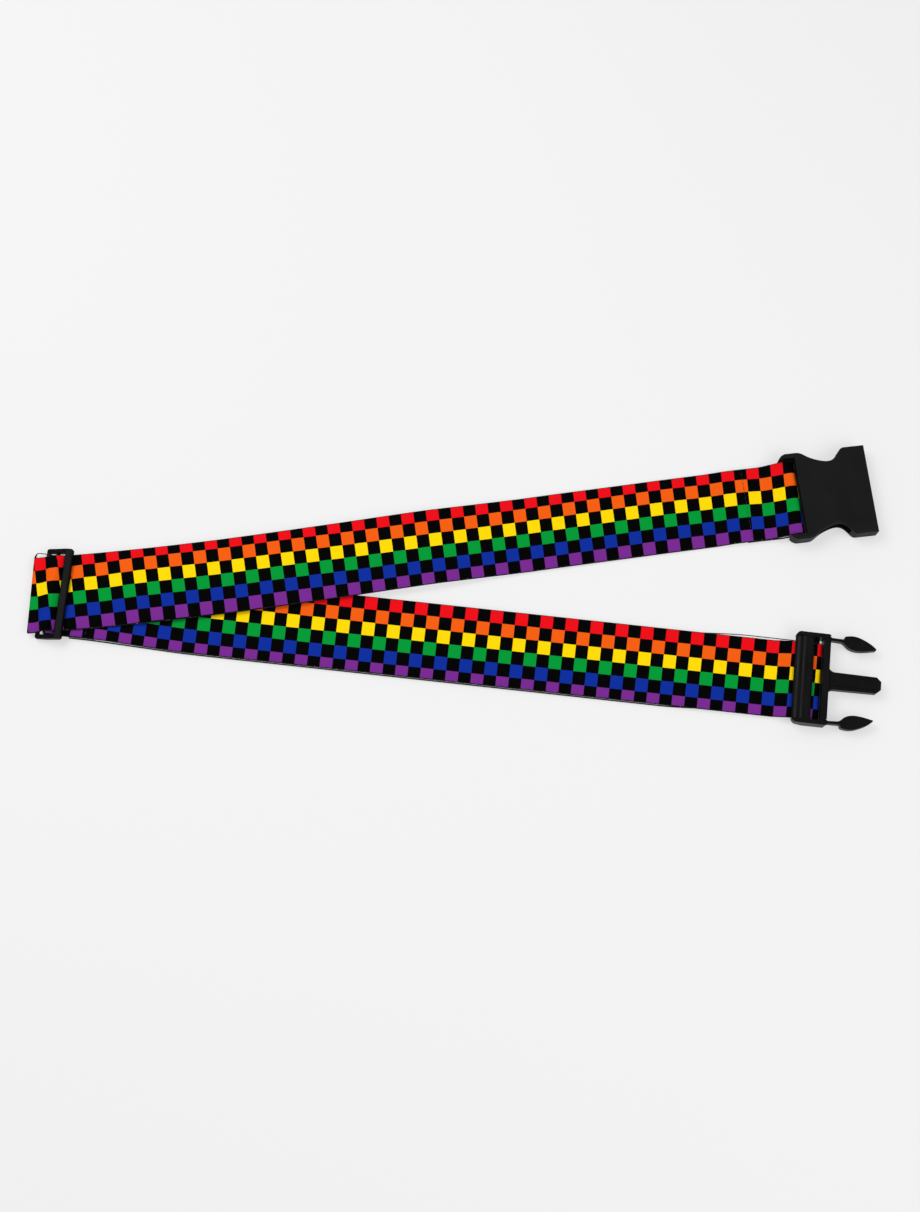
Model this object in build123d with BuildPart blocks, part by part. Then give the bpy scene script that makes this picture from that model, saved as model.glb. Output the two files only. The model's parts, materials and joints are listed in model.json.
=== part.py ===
from build123d import *
import os
from math import atan2, cos, degrees, hypot, radians, sin

# Luggage strap for 2 inch webbing, laid flat and folded in a narrow V.
# Millimetres and degrees. +X points to the buckle, +Z is up.
# Every span of webbing is drawn as its middle line, seen from the side.

# Webbing
WEB_W = 50.8
WEB_T = 1.2
LAY_GAP = 0.25  # between two layers of webbing, and round a bar

# Plan of the strap: directions of its spans
GLIDE_TURN = -4.6
LOWER_LEAD_TURN = -9.4
LOWER_TURN = -6.35
LEAD_TURN = 6.0
UPPER_TURN = 8.15
SOCKET_TURN = 6.5
PLUG_TURN = -6.4

# Plan of the strap: where the sewn bar of the slide is, and lengths from it
GLIDE_AT = (-262.1, -5.0)
UPPER_SHIFT = -0.6  # running webbing, off the middle of the slide
LOWER_SHIFT = -1.7  # sewn webbing, off the middle of the slide
UNDER_SHIFT = -1.1  # lower leg's under layer, off its top layer
LEAD_START = 14.6
LEAD_END = 84.0
LOWER_RUN = 383.6
UPPER_RUN = 372.6
CROSSING_L = 168.0  # start of the upper run that stays above the lower leg
RAMP_L = 60.0
TAB_L = 34.7
NECK_L = 30.6
END_GAP = 2.4  # between two spans that meet at a slight angle
KINK_GAP = 3.4  # the same, where the angle is largest

# Heights of the layers' middle lines
FLOOR_MID = WEB_T / 2
LAYER = WEB_T + LAY_GAP
SECOND_MID = FLOOR_MID + LAYER
THIRD_MID = SECOND_MID + LAYER
FOURTH_MID = THIRD_MID + LAYER

# Slide (three bars)
GLIDE_PLAY = 2.1  # beside the webbing, at each edge
GLIDE_WALL = 2.8
GLIDE_L = WEB_W + 2 * (GLIDE_PLAY + GLIDE_WALL)
GLIDE_BAR_R = 1.3
RIGHT_BAR_W = 5.5
RIGHT_BAR_T = 2.8
LEFT_BAR_W = 2.9
LEFT_BAR_T = 2.3
RIGHT_BAR_AT = 8.1
LEFT_BAR_AT = -6.4
FOLD_AT = -14.0
TAIL_L = 32.0

# Socket half of the buckle
SOCKET_PLAY = 0.8  # beside the webbing, at each edge
SOCKET_EAR = 3.9
EAR_GAP = WEB_W + 2 * SOCKET_PLAY
SOCKET_HALF = EAR_GAP / 2 + SOCKET_EAR
SOCKET_L = 57.8
SOCKET_T = 12.3
SOCKET_SKIN = 2.1
SOCKET_BAR_R = 2.2
SOCKET_BAR_AT = 6.8
SLOT_END = SOCKET_BAR_AT + SOCKET_BAR_R + LAY_GAP + WEB_T + 0.3
CAVITY_START = SLOT_END + 3.4
MOUTH_WALL = 2.8
RIB_T = 1.5
RIB_L = 24.0
RIB_AT = 26.0

# Plug half of the buckle
PLUG_PLAY = 1.7  # beside the webbing, at each edge
PLUG_WALL = 2.8
PLUG_HALF = WEB_W / 2 + PLUG_PLAY + PLUG_WALL
PLUG_SHIFT = 1.2  # off the middle of its webbing
PLUG_BAR_R = 1.8
PLUG_BAR_AT = 14.6
COVER_BAR_W = 12.0
COVER_GAP = 0.3
COVER_T = 3.8
BASE_W = 4.3
BASE_AT = PLUG_BAR_AT + PLUG_BAR_R + LAY_GAP + WEB_T + 0.25
PLUG_L = BASE_AT + BASE_W
PLUG_FOOT = 0.6
TONGUE_L = 33.9
TONGUE_HALF = 5.7
TONGUE_T = 5.2
PRONG_T = 5.6
PRONG_MID = 5.2
KNUCKLE_R = 1.5
KNUCKLE_FIT = 0.05
PRONG_AT = PLUG_HALF - 2.5  # middle of each prong's root

# Thread
STITCH_L = 2.4
STITCH_W = 0.5
STITCH_T = 0.2
STITCH_COUNT = 14


def along(point, turn, distance, across=0.0):
    """A plan point moved along a direction, and across it to the left."""
    angle = radians(turn)
    x = point[0] + distance * cos(angle) - across * sin(angle)
    y = point[1] + distance * sin(angle) + across * cos(angle)
    return (x, y)


def flat_plane(point, turn, height=0.0):
    """A level plane whose X runs along a direction."""
    angle = radians(turn)
    return Plane(origin=(*point, height), x_dir=(cos(angle), sin(angle), 0), z_dir=(0, 0, 1))


def side_plane(point, turn):
    """An upright plane: X runs along a direction, Y is height."""
    angle = radians(turn)
    return Plane(origin=(*point, 0), x_dir=(cos(angle), sin(angle), 0), z_dir=(sin(angle), -cos(angle), 0))


def save(piece, label):
    piece.part.label = label
    export_step(piece.part, f"parts/{label}.step")


def webbing(label, point, turn, line, bends=()):
    """One span of webbing, swept along its middle line."""
    plane = side_plane(point, turn)
    with BuildPart() as span:
        with BuildLine(plane) as path:
            if bends:
                FilletPolyline(*line, radius=bends)
            else:
                Polyline(*line)
        with BuildSketch(Plane(origin=path.line @ 0, x_dir=plane.z_dir, z_dir=path.line % 0)):
            Rectangle(WEB_W, WEB_T)
        sweep(path=path.line)
    save(span, label)
    return span


def stitching(label, point, turn, height, rows):
    """Crosswise rows of thread that lie on the webbing."""
    pitch = (WEB_W - 4.0) / STITCH_COUNT
    with BuildPart() as thread:
        for row in rows:
            with BuildSketch(flat_plane(along(point, turn, row), turn, height)):
                with GridLocations(1, pitch, 1, STITCH_COUNT):
                    SlotOverall(STITCH_L, STITCH_W, rotation=90)
            extrude(amount=STITCH_T)
    save(thread, label)
    return thread


os.makedirs("parts", exist_ok=True)

# ---- Slide end: fold, sewn end and leads ----

wrap_mid = GLIDE_BAR_R + LAY_GAP + WEB_T / 2
glide_bar_z = SECOND_MID + wrap_mid
wrap_top = glide_bar_z + wrap_mid
sewn_at = along(GLIDE_AT, GLIDE_TURN, 0, LOWER_SHIFT)
upper_at = along(GLIDE_AT, GLIDE_TURN, 0, UPPER_SHIFT)
lower_at = along(sewn_at, GLIDE_TURN, TAIL_L)
under_at = along(upper_at, GLIDE_TURN, LEAD_START)
lower_run_at = along(lower_at, LOWER_LEAD_TURN, LEAD_END - TAIL_L)
under_run_at = along(lower_run_at, LOWER_TURN, 0, UNDER_SHIFT)
drop_end = RIGHT_BAR_AT - RIGHT_BAR_W / 2 - 0.2
hump = wrap_top + LAYER + 0.05
loop_top = FLOOR_MID + 3.9

# running webbing: under the near bar, over the sewn bar and the far bar, round the fold and back
fold_line = [
    (LEAD_START - 0.4, FOURTH_MID),
    (drop_end, FOURTH_MID),
    (0.6, hump),
    (-2.6, hump),
    (LEFT_BAR_AT - 2.0, loop_top + 0.2),
    (FOLD_AT, loop_top),
    (FOLD_AT, FLOOR_MID),
    (LEAD_START - 0.4, FLOOR_MID),
]
webbing("fold_loop", upper_at, GLIDE_TURN, fold_line, [0.9, 1.0, 1.8, 2.0, 1.9, 1.9])

# sewn end: tail, round the sewn bar, and back out under the near bar
sewn_line = [
    (TAIL_L, SECOND_MID),
    (-wrap_mid, SECOND_MID),
    (-wrap_mid, wrap_top),
    (0.6, wrap_top),
    (drop_end, THIRD_MID),
    (TAIL_L, THIRD_MID),
]
webbing("sewn_end", sewn_at, GLIDE_TURN, sewn_line, [wrap_mid * 0.97, wrap_mid * 0.97, 1.0, 2.0])
tail_rows = (TAIL_L - 16.0, TAIL_L - 6.0)
stitching("sewn_end_stitching", sewn_at, GLIDE_TURN, THIRD_MID + WEB_T / 2, tail_rows)

lead_l = LEAD_END - TAIL_L
top_lead_line = [
    (KINK_GAP, THIRD_MID),
    (KINK_GAP + 4.0, THIRD_MID),
    (lead_l - 10.0, SECOND_MID),
    (lead_l - END_GAP / 2, SECOND_MID),
]
webbing("lower_top_lead", lower_at, LOWER_LEAD_TURN, top_lead_line, [20.0, 20.0])

under_rise = under_run_at[1] - under_at[1]
under_reach = under_run_at[0] - under_at[0]
under_turn = degrees(atan2(under_rise, under_reach))
under_l = hypot(under_rise, under_reach)
bottom_lead_line = [(KINK_GAP, FLOOR_MID), (under_l - END_GAP / 2, FLOOR_MID)]
webbing("lower_bottom_lead", under_at, under_turn, bottom_lead_line)

upper_lead_line = [(LEAD_START + 6.5, FOURTH_MID), (LEAD_END - END_GAP / 2, FOURTH_MID)]
webbing("upper_lead", upper_at, LEAD_TURN, upper_lead_line)

# ---- Slide moulding ----

right_bar_z = FOURTH_MID + WEB_T / 2 + LAY_GAP + RIGHT_BAR_T / 2
left_bar_z = WEB_T + LAY_GAP + LEFT_BAR_T / 2
end_shift = GLIDE_L / 2 - GLIDE_WALL
with BuildPart() as tri_glide:
    with BuildSketch(side_plane(GLIDE_AT, GLIDE_TURN)) as bars:
        with Locations((RIGHT_BAR_AT, right_bar_z)):
            RectangleRounded(RIGHT_BAR_W, RIGHT_BAR_T, RIGHT_BAR_T * 0.42)
        with Locations((LEFT_BAR_AT, left_bar_z)):
            RectangleRounded(LEFT_BAR_W, LEFT_BAR_T, LEFT_BAR_T * 0.42)
        with Locations((0, glide_bar_z)):
            Circle(GLIDE_BAR_R)
    extrude(amount=end_shift + 0.5, both=True)
    for side in (-1, 1):
        wall_mid = along(GLIDE_AT, GLIDE_TURN, 0, side * (end_shift + GLIDE_WALL / 2))
        with BuildSketch(side_plane(wall_mid, GLIDE_TURN)) as end_wall:
            with BuildLine():
                Polyline(
                    (LEFT_BAR_AT - LEFT_BAR_W / 2, left_bar_z - 1.0),
                    (LEFT_BAR_AT - LEFT_BAR_W / 2, left_bar_z + 0.9),
                    (0, glide_bar_z + 1.9),
                    (RIGHT_BAR_AT - 2.0, right_bar_z + RIGHT_BAR_T / 2),
                    (RIGHT_BAR_AT + RIGHT_BAR_W / 2, right_bar_z + RIGHT_BAR_T / 2),
                    (RIGHT_BAR_AT + RIGHT_BAR_W / 2, right_bar_z - RIGHT_BAR_T / 2),
                    (1.0, glide_bar_z - 1.9),
                    close=True,
                )
            make_face()
            fillet(end_wall.vertices(), radius=0.8)
        extrude(amount=GLIDE_WALL / 2, both=True)
    far_edge = LEFT_BAR_AT - LEFT_BAR_W / 2
    near_edge = RIGHT_BAR_AT + RIGHT_BAR_W / 2
    with BuildSketch(flat_plane(GLIDE_AT, GLIDE_TURN)):
        with Locations(((far_edge + near_edge) / 2, 0)):
            RectangleRounded(near_edge - far_edge, GLIDE_L, 1.8)
    extrude(amount=right_bar_z + RIGHT_BAR_T, mode=Mode.INTERSECT)
save(tri_glide, "tri_glide")

# ---- Upper leg: run, tab and socket ----

run_at = along(upper_at, LEAD_TURN, LEAD_END)
tab_at = along(run_at, UPPER_TURN, UPPER_RUN)
socket_bar = along(tab_at, SOCKET_TURN, TAB_L)
socket_bar_z = SOCKET_T / 2
socket_wrap = SOCKET_BAR_R + LAY_GAP + WEB_T / 2

upper_run_line = [
    (END_GAP / 2, FOURTH_MID),
    (CROSSING_L, FOURTH_MID),
    (CROSSING_L + RAMP_L, FLOOR_MID),
    (UPPER_RUN - 20.0, FLOOR_MID),
    (UPPER_RUN - 8.0, SECOND_MID),
    (UPPER_RUN - END_GAP / 2, SECOND_MID),
]
webbing("upper_run", run_at, UPPER_TURN, upper_run_line, [80.0, 80.0, 15.0, 15.0])

tab_line = [
    (0, SECOND_MID),
    (TAB_L - 19.0, SECOND_MID),
    (TAB_L - 2.0, socket_bar_z + socket_wrap),
    (TAB_L + socket_wrap, socket_bar_z + socket_wrap),
    (TAB_L + socket_wrap, socket_bar_z - socket_wrap),
    (TAB_L - 1.5, socket_bar_z - socket_wrap),
    (TAB_L - 12.0, FLOOR_MID),
    (1.0, FLOOR_MID),
]
tab_bends = [10.0, 5.0, socket_wrap * 0.97, socket_wrap * 0.97, 4.0, 8.0]
webbing("socket_tab", tab_at, SOCKET_TURN, tab_line, tab_bends)
stitching("socket_stitching", tab_at, SOCKET_TURN, SECOND_MID + WEB_T / 2, (4.0,))

socket_start = along(socket_bar, SOCKET_TURN, -SOCKET_BAR_AT)
socket_plan = flat_plane(socket_start, SOCKET_TURN)
with BuildPart() as socket:
    with BuildSketch(socket_plan) as socket_face:
        with BuildLine():
            Line((0, 0), (0, SOCKET_HALF - 5.6))
            RadiusArc((0, SOCKET_HALF - 5.6), (5.2, SOCKET_HALF - 0.4), 6.0)
            Line((5.2, SOCKET_HALF - 0.4), (12.0, SOCKET_HALF - 0.4))
            Spline(
                (12.0, SOCKET_HALF - 0.4),
                (18.5, SOCKET_HALF - 3.2),
                (27.5, SOCKET_HALF - 7.4),
                (35.0, SOCKET_HALF - 7.9),
                (40.0, SOCKET_HALF - 3.3),
                (44.8, SOCKET_HALF),
                tangents=((1, 0), (1, 0)),
            )
            Line((44.8, SOCKET_HALF), (SOCKET_L, SOCKET_HALF))
            Line((SOCKET_L, SOCKET_HALF), (SOCKET_L, 0))
            Line((SOCKET_L, 0), (0, 0))
        make_face()
        mirror(about=Plane.XZ)
    extrude(amount=SOCKET_T)
    rim = socket.edges().filter_by(Plane.XY)
    fillet(rim, radius=1.4)
    inside = SOCKET_L - CAVITY_START
    with BuildSketch(flat_plane(socket_start, SOCKET_TURN, SOCKET_SKIN)):
        with Locations((CAVITY_START + inside / 2, 0)):
            Rectangle(inside, 2 * (SOCKET_HALF - MOUTH_WALL))
    extrude(amount=SOCKET_T - 2 * SOCKET_SKIN, mode=Mode.SUBTRACT)
    with BuildSketch(socket_plan):
        with Locations((SLOT_END - 10.0, 0)):
            Rectangle(20.0, EAR_GAP)
    extrude(amount=SOCKET_T, mode=Mode.SUBTRACT)
    with BuildSketch(flat_plane(socket_start, SOCKET_TURN, SOCKET_SKIN)):
        with Locations((RIB_AT + RIB_L / 2, TONGUE_HALF + 1.6), (RIB_AT + RIB_L / 2, -TONGUE_HALF - 1.6)):
            Rectangle(RIB_L, RIB_T)
    extrude(amount=SOCKET_T - 2 * SOCKET_SKIN)
    with BuildSketch(side_plane(socket_start, SOCKET_TURN)):
        with Locations((SOCKET_BAR_AT, socket_bar_z)):
            Circle(SOCKET_BAR_R)
    extrude(amount=EAR_GAP / 2 + 0.5, both=True)
save(socket, "socket")

# ---- Lower leg: two layers, wrap and plug ----

neck_at = along(lower_run_at, LOWER_TURN, LOWER_RUN)
plug_bar = along(neck_at, PLUG_TURN, NECK_L)
plug_wrap = PLUG_BAR_R + LAY_GAP + WEB_T / 2
plug_bar_z = FLOOR_MID + plug_wrap
neck_top = plug_bar_z + plug_wrap

run_ends = (END_GAP / 2, LOWER_RUN - END_GAP / 2)
webbing("bottom_run", under_run_at, LOWER_TURN, [(end, FLOOR_MID) for end in run_ends])
webbing("top_run", lower_run_at, LOWER_TURN, [(end, SECOND_MID) for end in run_ends])

neck_line = [
    (END_GAP / 2, SECOND_MID),
    (4.0, SECOND_MID),
    (NECK_L - PLUG_BAR_AT - 2.0, neck_top),
    (NECK_L + plug_wrap, neck_top),
    (NECK_L + plug_wrap, FLOOR_MID),
    (END_GAP / 2, FLOOR_MID),
]
webbing("plug_wrap", neck_at, PLUG_TURN, neck_line, [6.0, 6.0, plug_wrap * 0.97, plug_wrap * 0.97])

plug_start = along(plug_bar, PLUG_TURN, -PLUG_BAR_AT, PLUG_SHIFT)
cover_z = neck_top + WEB_T / 2 + COVER_GAP
plug_top = cover_z + COVER_T
tongue_z = PRONG_MID - TONGUE_T / 2
with BuildPart() as plug:
    with BuildSketch(side_plane(plug_start, PLUG_TURN)):
        with BuildLine():
            Polyline((0, cover_z + 1.4), (0, cover_z + 0.6), (0.6, cover_z), (COVER_BAR_W - 0.6, cover_z))
            Line((COVER_BAR_W - 0.6, cover_z), (COVER_BAR_W, cover_z + 0.6))
            Line((COVER_BAR_W, cover_z + 0.6), (COVER_BAR_W, plug_top - 1.5))
            ThreePointArc((COVER_BAR_W, plug_top - 1.5), (8.4, plug_top), (5.0, plug_top - 0.55))
            ThreePointArc((5.0, plug_top - 0.55), (1.6, plug_top - 1.1), (0, cover_z + 1.4))
        make_face()
        with Locations((PLUG_BAR_AT, plug_bar_z)):
            Circle(PLUG_BAR_R)
    extrude(amount=PLUG_HALF - PLUG_WALL + 0.5, both=True)
    for side in (-1, 1):
        wall_mid = along(plug_start, PLUG_TURN, 0, side * (PLUG_HALF - PLUG_WALL / 2))
        with BuildSketch(side_plane(wall_mid, PLUG_TURN)) as cheek:
            with BuildLine():
                Polyline(
                    (0, plug_top - 1.2),
                    (1.4, plug_top + 0.3),
                    (PLUG_L - 0.6, plug_top - 0.2),
                    (PLUG_L, PLUG_FOOT + 1.0),
                    (PLUG_L - 1.0, PLUG_FOOT),
                    (8.0, PLUG_FOOT),
                    (0, cover_z - 1.2),
                    close=True,
                )
            make_face()
            fillet(cheek.vertices(), radius=0.5)
        extrude(amount=PLUG_WALL / 2, both=True)
    with BuildSketch(flat_plane(plug_start, PLUG_TURN, PLUG_FOOT)) as base_face:
        with Locations((BASE_AT + BASE_W / 2, 0)):
            Rectangle(BASE_W, 2 * PLUG_HALF - 1.0)
    extrude(amount=plug_top - 0.4 - PLUG_FOOT)
    with BuildSketch(flat_plane(plug_start, PLUG_TURN)) as outline:
        with Locations((PLUG_L / 2, 0)):
            Rectangle(PLUG_L, 2 * PLUG_HALF)
        fillet(outline.vertices().group_by(Axis.X)[0], radius=3.2)
        fillet(outline.vertices().group_by(Axis.X)[-1], radius=1.0)
    extrude(amount=plug_top + 1, mode=Mode.INTERSECT)
    with BuildSketch(flat_plane(plug_start, PLUG_TURN, tongue_z)):
        with BuildLine():
            Line((PLUG_L - 1, -TONGUE_HALF - 4), (PLUG_L - 1, TONGUE_HALF + 4))
            Line((PLUG_L - 1, TONGUE_HALF + 4), (PLUG_L, TONGUE_HALF + 4))
            RadiusArc((PLUG_L, TONGUE_HALF + 4), (PLUG_L + 4, TONGUE_HALF), -4)
            Line((PLUG_L + 4, TONGUE_HALF), (PLUG_L + TONGUE_L - 3, TONGUE_HALF - 0.4))
            Line((PLUG_L + TONGUE_L - 3, TONGUE_HALF - 0.4), (PLUG_L + TONGUE_L, TONGUE_HALF - 3))
            Line((PLUG_L + TONGUE_L, TONGUE_HALF - 3), (PLUG_L + TONGUE_L, -TONGUE_HALF + 3))
            Line((PLUG_L + TONGUE_L, -TONGUE_HALF + 3), (PLUG_L + TONGUE_L - 3, -TONGUE_HALF + 0.4))
            Line((PLUG_L + TONGUE_L - 3, -TONGUE_HALF + 0.4), (PLUG_L + 4, -TONGUE_HALF))
            RadiusArc((PLUG_L + 4, -TONGUE_HALF), (PLUG_L, -TONGUE_HALF - 4), -4)
            Line((PLUG_L, -TONGUE_HALF - 4), (PLUG_L - 1, -TONGUE_HALF - 4))
        make_face()
    extrude(amount=TONGUE_T)
    with BuildSketch(flat_plane(plug_start, PLUG_TURN, tongue_z + TONGUE_T)):
        with Locations((PLUG_L + TONGUE_L / 2 - 1, 0)):
            RectangleRounded(TONGUE_L - 4, TONGUE_HALF, 1.2)
    extrude(amount=0.5)
    with BuildSketch(flat_plane(plug_start, PLUG_TURN, PLUG_FOOT)):
        with Locations((PLUG_L, PRONG_AT), (PLUG_L, -PRONG_AT)):
            Circle(KNUCKLE_R + KNUCKLE_FIT)
    extrude(amount=plug_top, mode=Mode.SUBTRACT)
save(plug, "plug")

# both prongs share one shape, drawn in the plug's own frame
with BuildPart() as prong:
    with BuildSketch(Plane.XY.offset(PRONG_MID - PRONG_T / 2)):
        with BuildLine():
            Line((PLUG_L, PRONG_AT - 0.9), (PLUG_L, PRONG_AT + 0.9))
            Line((PLUG_L, PRONG_AT + 0.9), (PLUG_L + 8.9, PRONG_AT + 0.7))
            Line((PLUG_L + 8.9, PRONG_AT + 0.7), (PLUG_L + 9.6, PRONG_AT + 2.7))
            Spline(
                (PLUG_L + 9.6, PRONG_AT + 2.7),
                (PLUG_L + 15.9, PRONG_AT + 3.3),
                (PLUG_L + 23.7, PRONG_AT + 0.6),
                (PLUG_L + 29.6, PRONG_AT - 3.4),
                tangents=((1, 0.25), (1, -0.9)),
            )
            ThreePointArc(
                (PLUG_L + 29.6, PRONG_AT - 3.4),
                (PLUG_L + 29.75, PRONG_AT - 4.2),
                (PLUG_L + 28.7, PRONG_AT - 4.6),
            )
            Spline(
                (PLUG_L + 28.7, PRONG_AT - 4.6),
                (PLUG_L + 21.9, PRONG_AT - 5.9),
                (PLUG_L + 15.9, PRONG_AT - 6.0),
                (PLUG_L + 11.0, PRONG_AT - 3.9),
                (PLUG_L + 7.0, PRONG_AT - 1.3),
                tangents=((-1, -0.25), (-1, 0.1)),
            )
            Line((PLUG_L + 7.0, PRONG_AT - 1.3), (PLUG_L, PRONG_AT - 0.9))
        make_face()
        with Locations((PLUG_L, PRONG_AT)):
            Circle(KNUCKLE_R)
    extrude(amount=PRONG_T)
    fillet(prong.edges().filter_by(Plane.XY), radius=0.4)

plug_frame = flat_plane(plug_start, PLUG_TURN).location
for label, shape in (("upper_prong", prong.part), ("lower_prong", mirror(prong.part, about=Plane.XZ))):
    placed = shape.moved(plug_frame)
    placed.label = label
    export_step(placed, f"parts/{label}.step")
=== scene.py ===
import json
from math import atan2, ceil, cos, pi, radians, sin, tan

import bmesh
import bpy
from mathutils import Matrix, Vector

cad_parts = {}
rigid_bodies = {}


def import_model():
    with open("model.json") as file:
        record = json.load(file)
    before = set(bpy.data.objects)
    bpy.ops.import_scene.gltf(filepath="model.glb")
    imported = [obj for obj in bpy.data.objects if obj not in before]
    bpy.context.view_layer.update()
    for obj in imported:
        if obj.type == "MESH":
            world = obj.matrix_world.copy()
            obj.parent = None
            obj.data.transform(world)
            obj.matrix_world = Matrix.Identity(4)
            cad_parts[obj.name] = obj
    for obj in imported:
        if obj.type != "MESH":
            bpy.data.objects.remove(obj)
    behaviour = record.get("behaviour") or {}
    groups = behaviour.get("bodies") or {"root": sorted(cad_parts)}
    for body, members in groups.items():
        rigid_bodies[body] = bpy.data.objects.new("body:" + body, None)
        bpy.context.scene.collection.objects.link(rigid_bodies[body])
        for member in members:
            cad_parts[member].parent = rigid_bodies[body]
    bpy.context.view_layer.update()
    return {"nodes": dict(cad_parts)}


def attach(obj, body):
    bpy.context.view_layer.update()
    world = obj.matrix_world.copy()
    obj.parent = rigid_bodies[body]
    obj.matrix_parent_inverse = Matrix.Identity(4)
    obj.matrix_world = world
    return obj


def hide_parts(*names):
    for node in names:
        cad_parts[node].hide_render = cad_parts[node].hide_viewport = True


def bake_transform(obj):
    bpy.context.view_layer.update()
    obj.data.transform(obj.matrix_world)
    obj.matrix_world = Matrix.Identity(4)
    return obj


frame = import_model()

# ---- Sizes, in millimetres and degrees ----
# The same as in the model, but for the shifts, which set where the laid cloth is seen to lie.

MM = 0.001
WEB_W = 50.8
WEB_T = 1.2
LAY_GAP = 0.25
HALF = WEB_W / 2
GLIDE_TURN = -4.6
LOWER_TURN = -6.35
SOCKET_TURN = 6.5
PLUG_TURN = -6.4
GLIDE_AT = Vector((-262.1, -5.0))
UPPER_SHIFT = -0.1  # sideways, from the slide's middle line
LOWER_SHIFT = -1.7
UNDER_SHIFT = -0.7  # of the lower leg's bottom layer, from its top layer
LEG_START = 84.0  # where a leg starts, from the sewn bar
LOWER_RUN = 383.6
UPPER_RUN = 372.6
CROSSING_L = 168.0
RAMP_L = 60.0
TAB_L = 34.7
NECK_L = 30.6
TAIL_L = 32.0
FOLD_AT = -14.0
BOTTOM_JOIN = 14.4  # the two bands meet under the slide
GLIDE_BAR_R = 1.3
NEAR_BAR_EDGE = 5.15
FAR_BAR_EDGE = -8.4
LOOP_H = 3.9  # the fold's upper layer over its lower one
SOCKET_BAR_R = 2.2
SOCKET_BAR_Z = 6.15
PLUG_BAR_R = 1.8
COVER_BAR = 16.6  # from the plug's bar back to its cover bar's near edge

FLOOR_MID = WEB_T / 2
LAYER = WEB_T + LAY_GAP
SECOND_MID = FLOOR_MID + LAYER
THIRD_MID = SECOND_MID + LAYER
FOURTH_MID = THIRD_MID + LAYER
TOUCH = 0.02  # keeps laid-on thread off the cloth's face

# ---- The print, in squares ----

SQUARE = 8.2  # along the webbing
ROW = 8.75  # across it
ROWS = 6
BORDER = 0.8  # dark edge on the cloth's back
PRINT_COLOURS = [
    (0.72, 0.004, 0.008),
    (0.77, 0.098, 0.005),
    (0.86, 0.60, 0.002),
    (0.001, 0.27, 0.034),
    (0.004, 0.024, 0.28),
    (0.16, 0.021, 0.24),
]


def deselect():
    for o in bpy.data.objects:
        o.select_set(False)


def smooth(x):
    x = min(max(x, 0.0), 1.0)
    return x * x * (3 - 2 * x)


# ---- Materials ----


class Nodes:
    """Short names for building one material's nodes."""

    def __init__(self, name):
        self.material = bpy.data.materials.new(name)
        self.material.use_nodes = True
        self.tree = self.material.node_tree
        self.shader = self.tree.nodes["Principled BSDF"]

    def put(self, value, socket):
        if isinstance(value, bpy.types.NodeSocket):
            self.tree.links.new(value, socket)
        else:
            socket.default_value = value

    def math(self, operation, a, b=0.0, c=0.0):
        node = self.tree.nodes.new("ShaderNodeMath")
        node.operation = operation
        for value, socket in zip((a, b, c), node.inputs):
            self.put(value, socket)
        return node.outputs[0]

    def uv(self, name="band"):
        node = self.tree.nodes.new("ShaderNodeUVMap")
        node.uv_map = name
        split = self.tree.nodes.new("ShaderNodeSeparateXYZ")
        self.tree.links.new(node.outputs[0], split.inputs[0])
        return node.outputs[0], split.outputs[0], split.outputs[1]

    def place(self):
        return self.tree.nodes.new("ShaderNodeTexCoord").outputs["Object"]

    def noise(self, where, scale, detail=3.0, roughness=0.5):
        node = self.tree.nodes.new("ShaderNodeTexNoise")
        self.put(where, node.inputs["Vector"])
        node.inputs["Scale"].default_value = scale
        node.inputs["Detail"].default_value = detail
        node.inputs["Roughness"].default_value = roughness
        return node.outputs["Fac"]

    def stretch(self, where, scale):
        node = self.tree.nodes.new("ShaderNodeMapping")
        self.put(where, node.inputs["Vector"])
        node.inputs["Scale"].default_value = scale
        return node.outputs[0]

    def span(self, value, low, high, out_low, out_high):
        node = self.tree.nodes.new("ShaderNodeMapRange")
        self.put(value, node.inputs["Value"])
        limits = {"From Min": low, "From Max": high, "To Min": out_low, "To Max": out_high}
        for name, number in limits.items():
            node.inputs[name].default_value = number
        return node.outputs[0]

    def mix(self, factor, a, b, how="MIX"):
        node = self.tree.nodes.new("ShaderNodeMix")
        node.data_type = "RGBA"
        node.blend_type = how
        self.put(factor, node.inputs["Factor"])
        for value, name in ((a, "A"), (b, "B")):
            socket = next(s for s in node.inputs if s.name == name and s.type == "RGBA")
            self.put((*value, 1.0) if isinstance(value, tuple) else value, socket)
        return next(s for s in node.outputs if s.type == "RGBA")

    def bump(self, height, strength, distance, under=None):
        node = self.tree.nodes.new("ShaderNodeBump")
        node.inputs["Strength"].default_value = strength
        node.inputs["Distance"].default_value = distance
        self.put(height, node.inputs["Height"])
        if under is not None:
            self.put(under, node.inputs["Normal"])
        return node.outputs[0]

    def finish(self, colour=None, roughness=None, normal=None, **fixed):
        for name, value in (("Base Color", colour), ("Roughness", roughness), ("Normal", normal)):
            if value is not None:
                self.put((*value, 1.0) if isinstance(value, tuple) else value, self.shader.inputs[name])
        for name, value in fixed.items():
            self.shader.inputs[name.replace("_", " ")].default_value = value
        return self.material


YARNS = 9.0  # crosswise yarns in one square of print
ENDS = 7.0  # lengthwise yarns in one square of print


def weave(n, along, across):
    """Ribbed plain weave: a height from 0 to 1 that follows the band."""
    rib = n.math("SINE", n.math("MULTIPLY", along, 2 * pi * YARNS))
    cord = n.math("SINE", n.math("MULTIPLY", across, 2 * pi * ENDS))
    crossed = n.math("MULTIPLY", rib, cord)
    return n.math("MULTIPLY_ADD", crossed, 0.5, 0.5)


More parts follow.
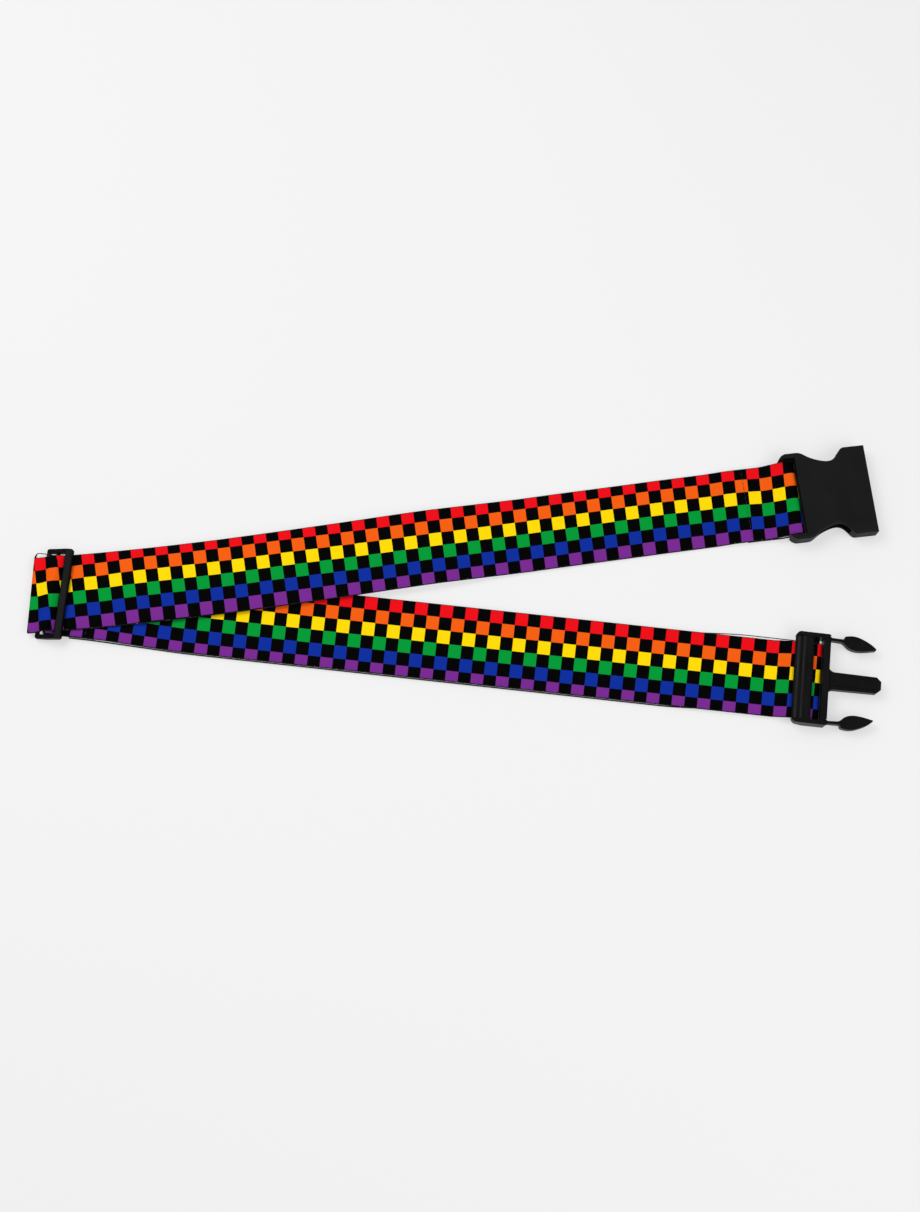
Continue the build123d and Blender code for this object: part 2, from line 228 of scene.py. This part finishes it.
def printed_face():
    n = Nodes("webbing_print")
    where, along, across = n.uv()
    column = n.math("FLOOR", along)
    row = n.math("FLOOR", across)
    odd = n.math("FLOORED_MODULO", n.math("ADD", column, row), 2.0)
    ramp = n.tree.nodes.new("ShaderNodeValToRGB")
    ramp.color_ramp.interpolation = "CONSTANT"
    for index, colour in enumerate(PRINT_COLOURS):
        place = index / ROWS
        stop = ramp.color_ramp.elements[0] if index == 0 else ramp.color_ramp.elements.new(place)
        stop.position = place
        stop.color = (*colour, 1.0)
    ramp.color_ramp.elements.remove(ramp.color_ramp.elements[-1])
    n.put(n.math("DIVIDE", n.math("ADD", row, 0.5), ROWS), ramp.inputs[0])
    past_near = n.math("GREATER_THAN", across, 0.0)
    inside = n.math("MULTIPLY", past_near, n.math("LESS_THAN", across, float(ROWS)))
    inked = n.math("MULTIPLY", inside, n.math("SUBTRACT", 1.0, odd))
    dyed = n.noise(where, 14.0, 4.0)
    tone = n.span(dyed, 0.3, 0.7, 0.93, 1.04)
    bright = n.mix(1.0, ramp.outputs[0], n.mix(tone, (0.0, 0.0, 0.0), (1.0, 1.0, 1.0)), "MULTIPLY")
    colour = n.mix(inked, (0.0006, 0.0006, 0.0007), bright)
    yarn = weave(n, along, across)
    fuzz = n.noise(n.stretch(where, (9.0, 40.0, 1.0)), 5.0)
    # painted shade: the print darkens by up to a tenth in the hollows between the yarns
    colour = n.mix(n.span(yarn, 0.0, 1.0, 0.10, 0.0), colour, (0.0, 0.0, 0.0))
    roughness = n.span(fuzz, 0.3, 0.7, 0.62, 0.8)
    height = n.math("ADD", yarn, n.math("MULTIPLY", fuzz, 0.5))
    normal = n.bump(height, 0.35, 0.00012)
    return n.finish(colour, roughness, normal, Specular_IOR_Level=0.02)


def plain_face():
    n = Nodes("webbing_back")
    where, along, across = n.uv()
    yarn = weave(n, along, across)
    fuzz = n.noise(n.stretch(where, (9.0, 40.0, 1.0)), 5.0)
    # painted shade: the white back turns grey in the hollows between the yarns
    shade = n.span(yarn, 0.0, 1.0, 0.25, 0.0)
    colour = n.mix(shade, (0.80, 0.80, 0.79), (0.45, 0.45, 0.45))
    soil = n.span(n.noise(where, 1.3, 4.0), 0.35, 0.75, 0.0, 0.12)
    colour = n.mix(soil, colour, (0.50, 0.49, 0.48))
    rim = 1 - BORDER / HALF
    border = n.span(n.uv("width")[2], rim, rim + 0.004, 0.0, 1.0)
    colour = n.mix(border, colour, (0.002, 0.002, 0.002))
    normal = n.bump(n.math("ADD", yarn, n.math("MULTIPLY", fuzz, 0.6)), 0.5, 0.00015)
    roughness = n.span(fuzz, 0.3, 0.7, 0.75, 0.92)
    return n.finish(colour, roughness, normal, Specular_IOR_Level=0.2, Sheen_Weight=0.1)


def edge_yarn():
    n = Nodes("webbing_edge")
    where, along, across = n.uv()
    slant = n.math("MULTIPLY_ADD", along, 2 * pi * YARNS / 2, n.math("MULTIPLY", across, 30.0))
    twist = n.math("MULTIPLY_ADD", n.math("SINE", slant), 0.5, 0.5)
    bleed = n.span(n.noise(n.stretch(where, (3.0, 1.0, 1.0)), 4.0), 0.60, 0.70, 0.0, 1.0)
    # black edge with grey patches from the noise; within the patches the twist's troughs are painted shade, dark
    # between its ridges
    colour = n.mix(n.math("MULTIPLY", bleed, twist), (0.004, 0.004, 0.004), (0.30, 0.30, 0.30))
    return n.finish(colour, 0.8, n.bump(twist, 0.6, 0.0002), Specular_IOR_Level=0.1)


def thread():
    n = Nodes("thread")
    where = n.place()
    strand = n.noise(n.stretch(where, (2500.0, 900.0, 900.0)), 1.0, 2.0)
    return n.finish((0.004, 0.004, 0.004), 0.55, n.bump(strand, 0.5, 0.0001), Specular_IOR_Level=0.35)


def plastic(name, colour, rough_low, rough_high, grain, gloss):
    """Black moulded plastic: fine grain, faint flow marks and rubbed places."""
    n = Nodes(name)
    where = n.place()
    fine = n.noise(where, 2600.0, 2.0)
    wide = n.noise(where, 60.0, 4.0)
    scuff = n.noise(n.stretch(where, (300.0, 60.0, 300.0)), 1.0, 5.0, 0.65)
    paler = tuple(channel * 1.6 + 0.001 for channel in colour)
    tint = n.mix(n.span(wide, 0.35, 0.7, 0.0, 0.6), colour, paler)
    tint = n.mix(n.span(scuff, 0.62, 0.75, 0.0, 0.2), tint, (0.012, 0.012, 0.0125))
    rubbed = n.span(scuff, 0.6, 0.75, 0.0, 0.12)
    roughness = n.math("ADD", n.span(wide, 0.3, 0.7, rough_low, rough_high), rubbed)
    height = n.math("ADD", n.math("MULTIPLY", fine, grain), n.math("MULTIPLY", wide, 0.4))
    return n.finish(tint, roughness, n.bump(height, 0.35, 0.00005), Specular_IOR_Level=gloss)


PRINT = printed_face()
BACK = plain_face()
EDGE = edge_yarn()
THREAD = thread()
SOCKET_PLASTIC = plastic("socket_plastic", (0.0020, 0.0021, 0.0022), 0.46, 0.60, 1.0, 0.12)
PLUG_PLASTIC = plastic("plug_plastic", (0.0018, 0.0018, 0.0019), 0.30, 0.42, 0.35, 0.07)
SLIDE_PLASTIC = plastic("slide_plastic", (0.0012, 0.0012, 0.0013), 0.36, 0.48, 0.35, 0.05)


def give(node, material):
    mesh = frame["nodes"][node].data
    mesh.materials.clear()
    mesh.materials.append(material)


# ---- Paths ----


def rounded(points, radii, step):
    """Samples a side view's middle line: straight runs joined by tangent arcs."""
    corners = [Vector(p) for p in points]
    line = [corners[0]]
    for before, corner, after, radius in zip(corners, corners[1:], corners[2:], radii):
        back, ahead = (before - corner).normalized(), (after - corner).normalized()
        turn = pi - back.angle(ahead)
        reach = radius * tan(turn / 2)
        start, end = corner + back * reach, corner + ahead * reach
        centre = corner + (back + ahead).normalized() * (radius / cos(turn / 2))
        line.append(start)
        pieces = max(2, ceil(turn / radians(12)))
        first = atan2(*(start - centre).yx)
        sweep = atan2(*(end - centre).yx) - first
        sweep = (sweep + pi) % (2 * pi) - pi
        for index in range(1, pieces):
            angle = first + sweep * index / pieces
            line.append(centre + Vector((cos(angle), sin(angle))) * radius)
        line.append(end)
    line.append(corners[-1])
    even = [line[0]]
    for a, b in zip(line, line[1:]):
        parts = max(1, ceil((b - a).length / step))
        even += [a.lerp(b, index / parts) for index in range(1, parts + 1)]
    return [p for p, q in zip(even, even[1:] + [Vector((1e9, 0))]) if (p - q).length > 1e-4]


def heading(turn):
    return Vector((cos(radians(turn)), sin(radians(turn))))


def walk(start, turn_at, distance, step=1.0):
    """The plan point at a distance along a route whose direction changes."""
    point = Vector(start)
    count = max(1, ceil(abs(distance) / step))
    part = distance / count
    for index in range(count):
        point += heading(turn_at(part * (index + 0.5))) * part
    return point


def bent(distance, knots):
    """A value read from knots of (distance, value), eased between them."""
    if distance <= knots[0][0]:
        return knots[0][1]
    for (a, low), (b, high) in zip(knots, knots[1:]):
        if distance <= b:
            return low + (high - low) * smooth((distance - a) / (b - a))
    return knots[-1][1]


FOLD_TURN = -1.8  # square to the fold's crease
CREASE_FROM = -11.0  # where the creases start to turn to the slide's bars
CREASE_OVER = 8.0
# each knot is a distance from the sewn bar and the value there; first the direction of each leg
UPPER_KNOTS = [
    (12, 4.6), (45, 6.0), (95, 7.2), (165, 8.7), (250, 8.5), (350, 8.05), (447, 7.65), (470, SOCKET_TURN)
]
LOWER_KNOTS = [(8, -5.6), (45, -8.4), (75, -8.4), (105, LOWER_TURN), (455, LOWER_TURN), (475, PLUG_TURN)]
# how far the lower leg's bottom layer peeps out sideways
UNDER_KNOTS = [(-10, 1.8), (45, UNDER_SHIFT), (400, UNDER_SHIFT), (455, 1.9), (483, 1.9), (495, 0.0)]
# how the print lies on the cloth: rows cut off its near edge, slant of its columns, squares along
UPPER_CUT = [
    (-10, -0.02), (25, 0.18), (60, 0.32), (130, 0.28), (250, 0.1), (320, 0.16), (400, 0.22), (455, 0.16), (488, 0.0)
]
UPPER_SLANT = [(-14, 4.8), (34, 4.5), (81, 2.5), (130, 0.9), (226, -0.8), (322, -1.7), (419, -2.4), (455, -3.6)]
UPPER_SLIDE = [(34, -0.64), (81, -0.52), (130, -0.44), (226, -0.33), (322, -0.35), (419, -0.41), (455, -0.44)]
LOWER_SLANT = [(60, 1.9), (185, 1.0), (285, -0.2), (430, -1.5)]
LOWER_SLIDE = [(60, 0.36), (285, 0.32), (430, 0.39)]
BENEATH_SLIDE = 0.39  # of the print on the bottom layer


def upper_turn(distance):
    return bent(distance, UPPER_KNOTS)


def lower_turn(distance):
    return bent(distance, LOWER_KNOTS)


GLIDE_SIDE = heading(GLIDE_TURN + 90)
UPPER_START = GLIDE_AT + GLIDE_SIDE * UPPER_SHIFT
LOWER_START = GLIDE_AT + GLIDE_SIDE * LOWER_SHIFT


# ---- Bands of webbing ----

ACROSS = 14  # faces across the band
ROUND = 3  # faces round each edge


def section():
    """The band's cross-section: (across, up, kind), from the print's near edge all round."""
    flat = HALF - WEB_T / 2
    ring = [(flat - 2 * flat * i / ACROSS, WEB_T / 2, 0) for i in range(ACROSS)]
    ring += [
        (-flat - sin(pi * i / ROUND) * WEB_T / 2, cos(pi * i / ROUND) * WEB_T / 2, 1) for i in range(ROUND)
    ]
    ring += [(-flat + 2 * flat * i / ACROSS, -WEB_T / 2, 2) for i in range(ACROSS)]
    ring += [
        (flat + sin(pi * i / ROUND) * WEB_T / 2, -cos(pi * i / ROUND) * WEB_T / 2, 1) for i in range(ROUND)
    ]
    return ring


def band(name, stations):
    """A closed strip of webbing through stations of (x, y, z, crossing angle, skew, cut, slant, slide).

    Its UV map counts squares of print along and rows of print across.
    """
    centres = [Vector(s[:3]) for s in stations]
    walked = [0.0]
    for a, b in zip(centres, centres[1:]):
        walked.append(walked[-1] + (b - a).length)
    ring = section()
    size = len(ring)
    mesh = bmesh.new()
    layer = mesh.loops.layers.uv.new("band")
    width = mesh.loops.layers.uv.new("width")
    rings, maps = [], []
    for index, (*_, angle, skew, cut, slant, slide) in enumerate(stations):
        ahead = centres[min(index + 1, len(centres) - 1)] - centres[max(index - 1, 0)]
        cross = Vector((*heading(angle), 0.0))
        up = ahead.cross(cross).normalized()
        points, marks = [], []
        for across, height, _ in ring:
            along_bar = across / cos(radians(skew))
            points.append(mesh.verts.new((centres[index] + cross * along_bar + up * height) * MM))
            marks.append(
                (
                    (walked[index] + along_bar * sin(radians(skew)) + across * tan(radians(slant))) / SQUARE + slide,
                    (HALF - across) / ROW + cut,
                )
            )
        rings.append(points)
        maps.append(marks)
    for i in range(len(rings) - 1):
        for k in range(size):
            corners = [(i, k), (i + 1, k), (i + 1, (k + 1) % size), (i, (k + 1) % size)]
            face = mesh.faces.new([rings[r][c] for r, c in corners])
            face.material_index = ring[k][2]
            face.smooth = True
            for loop, (r, c) in zip(face.loops, corners):
                loop[layer].uv = maps[r][c]
                loop[width].uv = (0.0, abs(ring[c][0]) / HALF)
    for r, order in ((0, 1), (len(rings) - 1, -1)):
        cap = mesh.faces.new(rings[r][::order])
        cap.material_index = 1
        for loop in cap.loops:
            loop[layer].uv = maps[r][rings[r].index(loop.vert)]
    bmesh.ops.recalc_face_normals(mesh, faces=mesh.faces)
    data = bpy.data.meshes.new(name)
    mesh.to_mesh(data)
    mesh.free()
    for material in (PRINT, EDGE, BACK):
        data.materials.append(material)
    piece = bpy.data.objects.new(name, data)
    bpy.context.scene.collection.objects.link(piece)
    return piece, walked[-1]


def lay(a, z, start, turn_at, follow, marks, shift=0.0, under=False):
    """A station over the plan at distance a; follow is 1 where the creases follow the slide's bars."""
    crease = FOLD_TURN + (GLIDE_TURN - FOLD_TURN) * smooth((a - CREASE_FROM) / CREASE_OVER)
    lean = (turn_at(a) - crease) * follow
    reach = a + min(max(a, FOLD_AT), NEAR_BAR_EDGE + 6) * (1 / cos(radians(lean)) - 1)
    point = walk(start, turn_at, reach)
    angle = turn_at(a) + 90 - lean
    point += heading(angle) * shift
    return (point.x, point.y, z, angle, -lean if under else lean, *marks)


WAVE_H = 0.22  # half the lift of the laid webbing's waves
WAVE_L = 95.0


def relaxed(a, z):
    """A faint lift of the laid webbing, never down."""
    inside = smooth((a - LEG_START) / 40) * smooth((LEG_START + UPPER_RUN - 30 - a) / 40)
    return z + inside * WAVE_H * (1 - cos(2 * pi * a / WAVE_L))


def upper_band():
    """From under the slide, round the fold and over the bars, to the sewn tab at the socket."""
    wrap_mid = GLIDE_BAR_R + LAY_GAP + WEB_T / 2
    hump = SECOND_MID + 2 * wrap_mid + LAYER + 0.05
    loop_top = FLOOR_MID + LOOP_H
    tab = LEG_START + UPPER_RUN
    bar = tab + TAB_L
    socket_wrap = SOCKET_BAR_R + LAY_GAP + WEB_T / 2
    top, bottom = SOCKET_BAR_Z + socket_wrap, SOCKET_BAR_Z - socket_wrap
    line = [
        (BOTTOM_JOIN, FLOOR_MID),
        (FOLD_AT, FLOOR_MID),
        (FOLD_AT, loop_top),
        (FAR_BAR_EDGE, loop_top + 0.2),
        (-2.6, hump),
        (0.6, hump),
        (NEAR_BAR_EDGE, FOURTH_MID),
        (LEG_START + CROSSING_L, FOURTH_MID),
        (LEG_START + CROSSING_L + RAMP_L, FLOOR_MID),
        (tab - 20.0, FLOOR_MID),
        (tab - 8.0, SECOND_MID),
        (bar - 19.0, SECOND_MID),
        (bar - 2.0, top),
        (bar + socket_wrap, top),
        (bar + socket_wrap, bottom),
        (bar - 1.5, bottom),
        (bar - 12.0, FLOOR_MID),
        (tab + 1.0, FLOOR_MID),
    ]
    round_bar = socket_wrap * 0.97
    radii = [1.9, 1.9, 2.0, 1.8, 1.0, 0.9, 80.0, 80.0, 15.0, 15.0, 10.0, 5.0, round_bar, round_bar, 4.0, 8.0]
    samples = rounded(line, radii, 3.0)
    levels = (FLOOR_MID + 0.02, loop_top - 0.3)
    low, high = (next(i for i, p in enumerate(samples) if p.y > level) for level in levels)
    stations = []
    for index, p in enumerate(samples):
        on_top = smooth((index - low) / (high - low))  # 0 under the slide, 1 once round the fold
        marks = [bent(p.x, knots) for knots in (UPPER_CUT, UPPER_SLANT, UPPER_SLIDE)]
        over = lay(p.x, relaxed(p.x, p.y), UPPER_START, upper_turn, smooth((45 - p.x) / 33), marks)
        near = smooth((30 - p.x) / 30)
        start = LOWER_START + (UPPER_START + GLIDE_SIDE * 0.6 - LOWER_START) * smooth((8 - p.x) / 16)
        shift = bent(p.x, UNDER_KNOTS)
        under = lay(p.x, p.y, start, lower_turn, near, marks, shift, True)
        stations.append(tuple(u + (o - u) * on_top for o, u in zip(over, under)))
    return band("upper_webbing", stations)


def lower_band():
    """From the sewn tail, round the slide's bar, out to the plug, round its bar, and back beneath."""
    wrap_mid = GLIDE_BAR_R + LAY_GAP + WEB_T / 2
    wrap_top = SECOND_MID + 2 * wrap_mid
    bar = LEG_START + LOWER_RUN + NECK_L
    plug_wrap = PLUG_BAR_R + LAY_GAP + WEB_T / 2
    neck_top = FLOOR_MID + 2 * plug_wrap
    line = [
        (TAIL_L, SECOND_MID),
        (-wrap_mid, SECOND_MID),
        (-wrap_mid, wrap_top),
        (0.6, wrap_top),
        (NEAR_BAR_EDGE, THIRD_MID),
        (TAIL_L + 8.0, THIRD_MID),
        (LEG_START - 12.0, SECOND_MID),
        (bar - NECK_L + 4.0, SECOND_MID),
        (bar - COVER_BAR + 0.2, neck_top),
        (bar + plug_wrap, neck_top),
        (bar + plug_wrap, FLOOR_MID),
        (BOTTOM_JOIN + 0.1, FLOOR_MID),
    ]
    round_glide, round_plug = wrap_mid * 0.97, plug_wrap * 0.97
    radii = [round_glide, round_glide, 1.0, 2.0, 20.0, 20.0, 6.0, 6.0, 1.4, round_plug]
    samples = rounded(line, radii, 3.0)
    turned = next(i for i, p in enumerate(samples) if p.x > bar + plug_wrap - 0.02)
    stations = []
    for index, p in enumerate(samples):
        beneath = smooth((index - turned - 2) / 12)  # 0 on top, 1 once round the plug's bar
        follow = 1.0 if p.x < 3 else smooth((30 - p.x) / 27)
        shift = bent(p.x, UNDER_KNOTS[1:]) * beneath  # the first knot is for the fold
        follow *= 1 - beneath
        above = 1 - beneath
        slide = bent(p.x, LOWER_SLIDE) * above + BENEATH_SLIDE * beneath
        marks = (0.0, bent(p.x, LOWER_SLANT) * above, slide)
        stations.append(lay(p.x, p.y, LOWER_START, lower_turn, follow, marks, shift))
    return band("lower_webbing", stations)


upper_webbing, upper_length = upper_band()
lower_webbing, lower_length = lower_band()


def leg_point(start, turn_at, distance):
    point = walk(start, turn_at, distance)
    return (point.x * MM, point.y * MM, FLOOR_MID * MM)


leg_point(UPPER_START, upper_turn, 20.0)
leg_point(UPPER_START, upper_turn, LEG_START + UPPER_RUN - 10)
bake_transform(upper_webbing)
leg_point(LOWER_START, lower_turn, TAIL_L + 3)
leg_point(LOWER_START, lower_turn, LEG_START + LOWER_RUN - 10)
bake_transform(lower_webbing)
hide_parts("fold_loop", "upper_lead", "upper_run", "socket_tab")
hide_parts("sewn_end", "lower_top_lead", "lower_bottom_lead", "top_run", "bottom_run", "plug_wrap")

# ---- Seams ----

STITCHES = 14
SEAM_MARGIN = 2.0  # bare cloth at each end of a row
STITCH_PITCH = (WEB_W - 2 * SEAM_MARGIN) / STITCHES
STITCH_HALF = STITCH_PITCH * 0.42
THREAD_R = 0.2


def seam(name, start, turn_at, rows, height, body, node):
    """Crosswise rows of stitches, each a short rounded thread pressed at both ends."""
    parts = []
    for row in rows:
        middle = walk(start, turn_at, row)
        turn = turn_at(row)
        for index in range(STITCHES):
            across = (index - (STITCHES - 1) / 2) * STITCH_PITCH
            place = middle + heading(turn + 90) * across
            deselect()
            bpy.ops.mesh.primitive_uv_sphere_add(
                segments=8,
                ring_count=6,
                radius=1.0,
                location=(place.x * MM, place.y * MM, (height + TOUCH) * MM),
                rotation=(0, 0, radians(turn)),
            )
            stitch = bpy.context.object
            stitch.scale = (THREAD_R * MM, STITCH_HALF * MM, THREAD_R * MM)
            bpy.ops.object.transform_apply(location=True, rotation=True, scale=True)
            parts.append(stitch)
    deselect()
    for part in parts:
        part.select_set(True)
    bpy.context.view_layer.objects.active = parts[0]
    bpy.ops.object.join()
    piece = parts[0]
    piece.name = name
    bpy.ops.object.shade_smooth()
    piece.data.materials.append(THREAD)
    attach(piece, body)
    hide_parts(node)


tab_start = LEG_START + UPPER_RUN
tab_rows = (tab_start + 4.0,)
tail_rows = (TAIL_L - 16.0, TAIL_L - 6.0)
tab_face = SECOND_MID + WEB_T / 2
tail_face = THIRD_MID + WEB_T / 2
seam("socket_seam", UPPER_START, upper_turn, tab_rows, tab_face, "upper_leg", "socket_stitching")
seam("slide_seam", LOWER_START, lower_turn, tail_rows, tail_face, "slide_end", "sewn_end_stitching")

# ---- Moulded parts ----

give("socket", SOCKET_PLASTIC)
give("tri_glide", SLIDE_PLASTIC)
for moulding in ("plug", "upper_prong", "lower_prong"):
    give(moulding, PLUG_PLASTIC)

# ---- Studio ----

STUDIO = 2.6
FLOOR_Z = -0.0004  # just under the cloth
bpy.ops.mesh.primitive_plane_add(size=STUDIO * 2, location=(0, 0, FLOOR_Z))
floor = bpy.context.object
floor.name = "floor"
paper = Nodes("paper")
paper_glow = {"Emission_Color": (1.0, 1.0, 1.0, 1.0), "Emission_Strength": 0.515}  # painted light: the paper glows, which brightens it and fills its shadows
floor.data.materials.append(paper.finish((0.30, 0.30, 0.30), 0.9, Specular_IOR_Level=0.0, **paper_glow))


def softbox(name, place, size, power):
    light = bpy.data.lights.new(name, "AREA")
    light.shape = "RECTANGLE"
    light.size, light.size_y = size
    light.energy = power
    lamp = bpy.data.objects.new(name, light)
    lamp.location = place
    lamp.rotation_euler = (-Vector(place)).to_track_quat("-Z", "Y").to_euler()
    bpy.context.scene.collection.objects.link(lamp)


softbox("key", (-0.7, 0.5, 1.3), (1.0, 0.8), 14.5)
softbox("fill", (0.9, -0.6, 1.2), (1.2, 1.0), 11.0)
world = bpy.data.worlds.new("studio")
world.use_nodes = True
world.node_tree.nodes["Background"].inputs[0].default_value = (1.0, 1.0, 1.0, 1.0)
world.node_tree.nodes["Background"].inputs[1].default_value = 0.56
bpy.context.scene.world = world
bpy.context.scene.view_settings.view_transform = "Standard"

# ---- Camera ----

ELEVATION = 75.5
DISTANCE = 1.0604
FRAME_W = 0.6005  # what the frame's width covers at the object
LOOK_AT = Vector((0.00406, -0.01274, 0.0029))
lens = bpy.data.cameras.new("camera")
lens.sensor_fit = "HORIZONTAL"
lens.sensor_width = 36.0
lens.lens = lens.sensor_width * DISTANCE / FRAME_W
camera = bpy.data.objects.new("camera", lens)
back = Vector((0, -cos(radians(ELEVATION)), sin(radians(ELEVATION))))
camera.location = LOOK_AT + back * DISTANCE
camera.rotation_euler = (-back).to_track_quat("-Z", "Y").to_euler()
bpy.context.scene.collection.objects.link(camera)
bpy.context.scene.camera = camera
